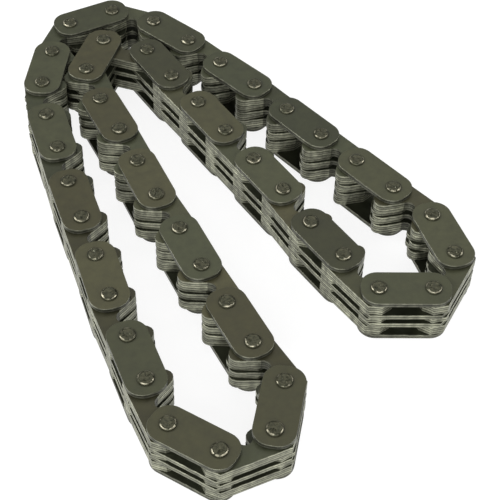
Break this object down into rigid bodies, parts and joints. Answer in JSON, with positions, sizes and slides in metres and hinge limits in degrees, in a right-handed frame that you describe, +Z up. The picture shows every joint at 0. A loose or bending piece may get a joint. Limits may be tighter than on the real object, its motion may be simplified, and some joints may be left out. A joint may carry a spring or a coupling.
{
  "type": "timing chain",
  "caption": "Endless riveted silent timing chain with inverted teeth, lying folded on its side; it drives a camshaft sprocket from a crankshaft sprocket.",
  "frame": {"origin": "on the supporting surface under the middle of the folded loop", "axes": "+Z up through the width of the chain, +Y away from the camera of the picture, +X to its right"},
  "size_m": [0.1152, 0.1542, 0.0143],
  "materials": {
    "guide_plate_steel": "dark oiled black-oxide faces, bare sheared edges",
    "inner_link_steel": "dark oiled black-oxide faces, bare sheared edges",
    "toothed_plate_steel": "dark oiled black-oxide faces, bare sheared edges",
    "rivet_steel": "worn bright steel, hammered over"
  },
  "bodies": {
    "guide_link_01": {"closing_link_lower_plate": "guide_plate_steel", "closing_link_upper_plate": "guide_plate_steel", "closing_link_toothed_plates": "toothed_plate_steel", "closing_link_pins": "rivet_steel"},
    "inner_link_01": {"inner_link_01": "inner_link_steel"},
    "guide_link_02": {"guide_link_02": "guide_plate_steel"},
    "inner_link_02": {"inner_link_02": "inner_link_steel"},
    "guide_link_03": {"guide_link_03": "guide_plate_steel"},
    "inner_link_03": {"inner_link_03": "inner_link_steel"},
    "guide_link_04": {"guide_link_04": "guide_plate_steel"},
    "inner_link_04": {"inner_link_04": "inner_link_steel"},
    "guide_link_05": {"guide_link_05": "guide_plate_steel"},
    "inner_link_05": {"inner_link_05": "inner_link_steel"},
    "guide_link_06": {"guide_link_06": "guide_plate_steel"},
    "inner_link_06": {"inner_link_06": "inner_link_steel"},
    "guide_link_07": {"guide_link_07": "guide_plate_steel"},
    "inner_link_07": {"inner_link_07": "inner_link_steel"},
    "guide_link_08": {"guide_link_08": "guide_plate_steel"},
    "inner_link_08": {"inner_link_08": "inner_link_steel"},
    "guide_link_09": {"guide_link_09": "guide_plate_steel"},
    "inner_link_09": {"inner_link_09": "inner_link_steel"},
    "guide_link_10": {"guide_link_10": "guide_plate_steel"},
    "inner_link_10": {"inner_link_10": "inner_link_steel"},
    "guide_link_11": {"guide_link_11": "guide_plate_steel"},
    "inner_link_11": {"inner_link_11": "inner_link_steel"},
    "guide_link_12": {"guide_link_12": "guide_plate_steel"},
    "inner_link_12": {"inner_link_12": "inner_link_steel"},
    "guide_link_13": {"guide_link_13": "guide_plate_steel"},
    "inner_link_13": {"inner_link_13": "inner_link_steel"},
    "guide_link_14": {"guide_link_14": "guide_plate_steel"},
    "inner_link_14": {"inner_link_14": "inner_link_steel"},
    "guide_link_15": {"guide_link_15": "guide_plate_steel"},
    "inner_link_15": {"inner_link_15": "inner_link_steel"},
    "guide_link_16": {"guide_link_16": "guide_plate_steel"},
    "inner_link_16": {"inner_link_16": "inner_link_steel"},
    "guide_link_17": {"guide_link_17": "guide_plate_steel"},
    "inner_link_17": {"inner_link_17": "inner_link_steel"},
    "guide_link_18": {"guide_link_18": "guide_plate_steel"},
    "inner_link_18": {"inner_link_18": "inner_link_steel"},
    "guide_link_19": {"guide_link_19": "guide_plate_steel"},
    "inner_link_19": {"inner_link_19": "inner_link_steel"},
    "guide_link_20": {"guide_link_20": "guide_plate_steel"},
    "inner_link_20": {"inner_link_20": "inner_link_steel"},
    "guide_link_21": {"guide_link_21": "guide_plate_steel"},
    "inner_link_21": {"inner_link_21": "inner_link_steel"},
    "guide_link_22": {"guide_link_22": "guide_plate_steel"},
    "inner_link_22": {"inner_link_22": "inner_link_steel"},
    "guide_link_23": {"guide_link_23": "guide_plate_steel"},
    "inner_link_23": {"inner_link_23": "inner_link_steel"}
  },
  "joints": [
    {"name": "pivot_01", "type": "hinge", "parent": "inner_link_01", "child": "guide_link_01", "pos_m": [-0.03687, 0.07195, 0.00714], "axis": [0, 0, 1], "range_deg": [-2.34, 5.84]},
    {"name": "pivot_02", "type": "hinge", "parent": "guide_link_02", "child": "inner_link_01", "pos_m": [-0.02486, 0.06782, 0.00714], "axis": [0, 0, 1], "range_deg": [-11.83, 4.74]},
    {"name": "pivot_03", "type": "hinge", "parent": "inner_link_02", "child": "guide_link_02", "pos_m": [-0.01485, 0.06, 0.00714], "axis": [0, 0, 1], "range_deg": [-1.7, 4.24]},
    {"name": "pivot_04", "type": "hinge", "parent": "guide_link_03", "child": "inner_link_02", "pos_m": [-0.00572, 0.05118, 0.00714], "axis": [0, 0, 1], "range_deg": [-14.97, 14.97]},
    {"name": "pivot_05", "type": "hinge", "parent": "inner_link_03", "child": "guide_link_03", "pos_m": [0.00372, 0.04268, 0.00714], "axis": [0, 0, 1], "range_deg": [-13.17, 13.17]},
    {"name": "pivot_06", "type": "hinge", "parent": "guide_link_04", "child": "inner_link_03", "pos_m": [0.01238, 0.03339, 0.00714], "axis": [0, 0, 1], "range_deg": [-9.48, 9.48]},
    {"name": "pivot_07", "type": "hinge", "parent": "inner_link_04", "child": "guide_link_04", "pos_m": [0.0212, 0.02426, 0.00714], "axis": [0, 0, 1], "range_deg": [-16.22, 16.22]},
    {"name": "pivot_08", "type": "hinge", "parent": "guide_link_05", "child": "inner_link_04", "pos_m": [0.03003, 0.01512, 0.00714], "axis": [0, 0, 1], "range_deg": [-15.97, 15.97]},
    {"name": "pivot_09", "type": "hinge", "parent": "inner_link_05", "child": "guide_link_05", "pos_m": [0.03885, 0.00599, 0.00714], "axis": [0, 0, 1], "range_deg": [-10.66, 10.66]},
    {"name": "pivot_10", "type": "hinge", "parent": "guide_link_06", "child": "inner_link_05", "pos_m": [0.04783, -0.00299, 0.00714], "axis": [0, 0, 1], "range_deg": [-3.67, 3.67]},
    {"name": "pivot_11", "type": "hinge", "parent": "inner_link_06", "child": "guide_link_06", "pos_m": [0.05238, -0.01485, 0.00714], "axis": [0, 0, 1], "range_deg": [-7.57, 7.57]},
    {"name": "pivot_12", "type": "hinge", "parent": "guide_link_07", "child": "inner_link_06", "pos_m": [0.04661, -0.02617, 0.00714], "axis": [0, 0, 1], "range_deg": [-12.51, 12.51]},
    {"name": "pivot_13", "type": "hinge", "parent": "inner_link_07", "child": "guide_link_07", "pos_m": [0.03392, -0.02661, 0.00714], "axis": [0, 0, 1], "range_deg": [-8.55, 8.55]},
    {"name": "pivot_14", "type": "hinge", "parent": "guide_link_08", "child": "inner_link_07", "pos_m": [0.02593, -0.01674, 0.00714], "axis": [0, 0, 1], "range_deg": [-12.92, 12.92]},
    {"name": "pivot_15", "type": "hinge", "parent": "inner_link_08", "child": "guide_link_08", "pos_m": [0.01829, -0.0066, 0.00714], "axis": [0, 0, 1], "range_deg": [-16.01, 16.01]},
    {"name": "pivot_16", "type": "hinge", "parent": "guide_link_09", "child": "inner_link_08", "pos_m": [0.01156, 0.00417, 0.00714], "axis": [0, 0, 1], "range_deg": [-13.59, 13.59]},
    {"name": "pivot_17", "type": "hinge", "parent": "inner_link_09", "child": "guide_link_09", "pos_m": [0.00409, 0.01445, 0.00714], "axis": [0, 0, 1], "range_deg": [-14.14, 14.14]},
    {"name": "pivot_18", "type": "hinge", "parent": "guide_link_10", "child": "inner_link_09", "pos_m": [-0.00337, 0.02472, 0.00714], "axis": [0, 0, 1], "range_deg": [-15.61, 15.61]},
    {"name": "pivot_19", "type": "hinge", "parent": "inner_link_10", "child": "guide_link_10", "pos_m": [-0.01084, 0.035, 0.00714], "axis": [0, 0, 1], "range_deg": [-12.4, 12.4]},
    {"name": "pivot_20", "type": "hinge", "parent": "guide_link_11", "child": "inner_link_10", "pos_m": [-0.01848, 0.04514, 0.00714], "axis": [0, 0, 1], "range_deg": [-1.65, 0.67]},
    {"name": "pivot_21", "type": "hinge", "parent": "inner_link_11", "child": "guide_link_11", "pos_m": [-0.02577, 0.05554, 0.00714], "axis": [0, 0, 1], "range_deg": [-3.85, 9.61]},
    {"name": "pivot_22", "type": "hinge", "parent": "guide_link_12", "child": "inner_link_11", "pos_m": [-0.03797, 0.05904, 0.00714], "axis": [0, 0, 1], "range_deg": [-15, 6]},
    {"name": "pivot_23", "type": "hinge", "parent": "guide_link_12", "child": "inner_link_12", "pos_m": [-0.04147, 0.04683, 0.00714], "axis": [0, 0, 1], "range_deg": [-6.57, 2.63]},
    {"name": "pivot_24", "type": "hinge", "parent": "inner_link_12", "child": "guide_link_13", "pos_m": [-0.03651, 0.03514, 0.00714], "axis": [0, 0, 1], "range_deg": [-15, 15]},
    {"name": "pivot_25", "type": "hinge", "parent": "guide_link_13", "child": "inner_link_13", "pos_m": [-0.03055, 0.02393, 0.00714], "axis": [0, 0, 1], "range_deg": [-17.4, 17.4]},
    {"name": "pivot_26", "type": "hinge", "parent": "inner_link_13", "child": "guide_link_14", "pos_m": [-0.02498, 0.01252, 0.00714], "axis": [0, 0, 1], "range_deg": [-11.02, 11.02]},
    {"name": "pivot_27", "type": "hinge", "parent": "guide_link_14", "child": "inner_link_14", "pos_m": [-0.01941, 0.0011, 0.00714], "axis": [0, 0, 1], "range_deg": [-15.01, 15.01]},
    {"name": "pivot_28", "type": "hinge", "parent": "inner_link_14", "child": "guide_link_15", "pos_m": [-0.01306, -0.0099, 0.00714], "axis": [0, 0, 1], "range_deg": [-13.23, 13.23]},
    {"name": "pivot_29", "type": "hinge", "parent": "guide_link_15", "child": "inner_link_15", "pos_m": [-0.0073, -0.02121, 0.00714], "axis": [0, 0, 1], "range_deg": [-12.85, 12.85]},
    {"name": "pivot_30", "type": "hinge", "parent": "inner_link_15", "child": "guide_link_16", "pos_m": [-0.00095, -0.03221, 0.00714], "axis": [0, 0, 1], "range_deg": [-15.27, 15.27]},
    {"name": "pivot_31", "type": "hinge", "parent": "guide_link_16", "child": "inner_link_16", "pos_m": [0.00521, -0.04332, 0.00714], "axis": [0, 0, 1], "range_deg": [-9.8, 9.8]},
    {"name": "pivot_32", "type": "hinge", "parent": "inner_link_16", "child": "guide_link_17", "pos_m": [0.01231, -0.05385, 0.00714], "axis": [0, 0, 1], "range_deg": [-9.05, 9.05]},
    {"name": "pivot_33", "type": "hinge", "parent": "guide_link_17", "child": "inner_link_17", "pos_m": [0.01032, -0.06639, 0.00714], "axis": [0, 0, 1], "range_deg": [-12.63, 12.63]},
    {"name": "pivot_34", "type": "hinge", "parent": "inner_link_17", "child": "guide_link_18", "pos_m": [-0.00109, -0.07196, 0.00714], "axis": [0, 0, 1], "range_deg": [-7.73, 7.73]},
    {"name": "pivot_35", "type": "hinge", "parent": "guide_link_18", "child": "inner_link_18", "pos_m": [-0.0122, -0.0658, 0.00714], "axis": [0, 0, 1], "range_deg": [-5.21, 5.21]},
    {"name": "pivot_36", "type": "hinge", "parent": "inner_link_18", "child": "guide_link_19", "pos_m": [-0.01777, -0.05439, 0.00714], "axis": [0, 0, 1], "range_deg": [-13.9, 13.9]},
    {"name": "pivot_37", "type": "hinge", "parent": "guide_link_19", "child": "inner_link_19", "pos_m": [-0.02273, -0.0427, 0.00714], "axis": [0, 0, 1], "range_deg": [-16.2, 16.2]},
    {"name": "pivot_38", "type": "hinge", "parent": "inner_link_19", "child": "guide_link_20", "pos_m": [-0.02789, -0.03109, 0.00714], "axis": [0, 0, 1], "range_deg": [-13.6, 13.6]},
    {"name": "pivot_39", "type": "hinge", "parent": "guide_link_20", "child": "inner_link_20", "pos_m": [-0.03224, -0.01916, 0.00714], "axis": [0, 0, 1], "range_deg": [-16.39, 16.39]},
    {"name": "pivot_40", "type": "hinge", "parent": "inner_link_20", "child": "guide_link_21", "pos_m": [-0.03679, -0.0073, 0.00714], "axis": [0, 0, 1], "range_deg": [-16.79, 16.79]},
    {"name": "pivot_41", "type": "hinge", "parent": "guide_link_21", "child": "inner_link_21", "pos_m": [-0.04134, 0.00455, 0.00714], "axis": [0, 0, 1], "range_deg": [-13.47, 13.47]},
    {"name": "pivot_42", "type": "hinge", "parent": "inner_link_21", "child": "guide_link_22", "pos_m": [-0.04548, 0.01656, 0.00714], "axis": [0, 0, 1], "range_deg": [-15.35, 15.35]},
    {"name": "pivot_43", "type": "hinge", "parent": "guide_link_22", "child": "inner_link_22", "pos_m": [-0.04982, 0.02849, 0.00714], "axis": [0, 0, 1], "range_deg": [-12, 12]},
    {"name": "pivot_44", "type": "hinge", "parent": "inner_link_22", "child": "guide_link_23", "pos_m": [-0.05246, 0.04092, 0.00714], "axis": [0, 0, 1], "range_deg": [-2.76, 6.9]},
    {"name": "pivot_45", "type": "hinge", "parent": "guide_link_23", "child": "inner_link_23", "pos_m": [-0.05143, 0.05357, 0.00714], "axis": [0, 0, 1], "range_deg": [-5.82, 2.34]}
  ],
  "couplings": [
    {"joint": "pivot_01", "follows": "pivot_22", "ratio": -0.3888},
    {"joint": "pivot_02", "follows": "pivot_22", "ratio": 0.788},
    {"joint": "pivot_03", "follows": "pivot_22", "ratio": -0.2819},
    {"joint": "pivot_04", "follows": "pivot_19", "ratio": -1.2067},
    {"joint": "pivot_05", "follows": "pivot_19", "ratio": 1.0612},
    {"joint": "pivot_06", "follows": "pivot_19", "ratio": -0.7637},
    {"joint": "pivot_07", "follows": "pivot_19", "ratio": 1.3072},
    {"joint": "pivot_08", "follows": "pivot_19", "ratio": -1.2868},
    {"joint": "pivot_09", "follows": "pivot_19", "ratio": 0.8587},
    {"joint": "pivot_10", "follows": "pivot_19", "ratio": -0.2953},
    {"joint": "pivot_11", "follows": "pivot_19", "ratio": 0.6099},
    {"joint": "pivot_12", "follows": "pivot_19", "ratio": -1.0084},
    {"joint": "pivot_13", "follows": "pivot_19", "ratio": 0.6888},
    {"joint": "pivot_14", "follows": "pivot_19", "ratio": -1.0409},
    {"joint": "pivot_15", "follows": "pivot_19", "ratio": 1.2901},
    {"joint": "pivot_16", "follows": "pivot_19", "ratio": -1.0955},
    {"joint": "pivot_17", "follows": "pivot_19", "ratio": 1.1399},
    {"joint": "pivot_18", "follows": "pivot_19", "ratio": -1.2582},
    {"joint": "pivot_20", "follows": "pivot_22", "ratio": 0.1093},
    {"joint": "pivot_21", "follows": "pivot_22", "ratio": -0.6403},
    {"joint": "pivot_23", "follows": "pivot_22", "ratio": 0.4375},
    {"joint": "pivot_25", "follows": "pivot_24", "ratio": -1.1595},
    {"joint": "pivot_26", "follows": "pivot_24", "ratio": 0.7343},
    {"joint": "pivot_27", "follows": "pivot_24", "ratio": -1},
    {"joint": "pivot_28", "follows": "pivot_24", "ratio": 0.8813},
    {"joint": "pivot_29", "follows": "pivot_24", "ratio": -0.8557},
    {"joint": "pivot_30", "follows": "pivot_24", "ratio": 1.0171},
    {"joint": "pivot_31", "follows": "pivot_24", "ratio": -0.6525},
    {"joint": "pivot_32", "follows": "pivot_24", "ratio": 0.6025},
    {"joint": "pivot_33", "follows": "pivot_24", "ratio": -0.8413},
    {"joint": "pivot_34", "follows": "pivot_24", "ratio": 0.5144},
    {"joint": "pivot_35", "follows": "pivot_24", "ratio": -0.3466},
    {"joint": "pivot_36", "follows": "pivot_24", "ratio": 0.9261},
    {"joint": "pivot_37", "follows": "pivot_24", "ratio": -1.0795},
    {"joint": "pivot_38", "follows": "pivot_24", "ratio": 0.9063},
    {"joint": "pivot_39", "follows": "pivot_24", "ratio": -1.0921},
    {"joint": "pivot_40", "follows": "pivot_24", "ratio": 1.1187},
    {"joint": "pivot_41", "follows": "pivot_24", "ratio": -0.8973},
    {"joint": "pivot_42", "follows": "pivot_24", "ratio": 1.0228},
    {"joint": "pivot_43", "follows": "pivot_24", "ratio": -0.7991},
    {"joint": "pivot_44", "follows": "pivot_22", "ratio": -0.459},
    {"joint": "pivot_45", "follows": "pivot_22", "ratio": 0.3875}
  ]
}
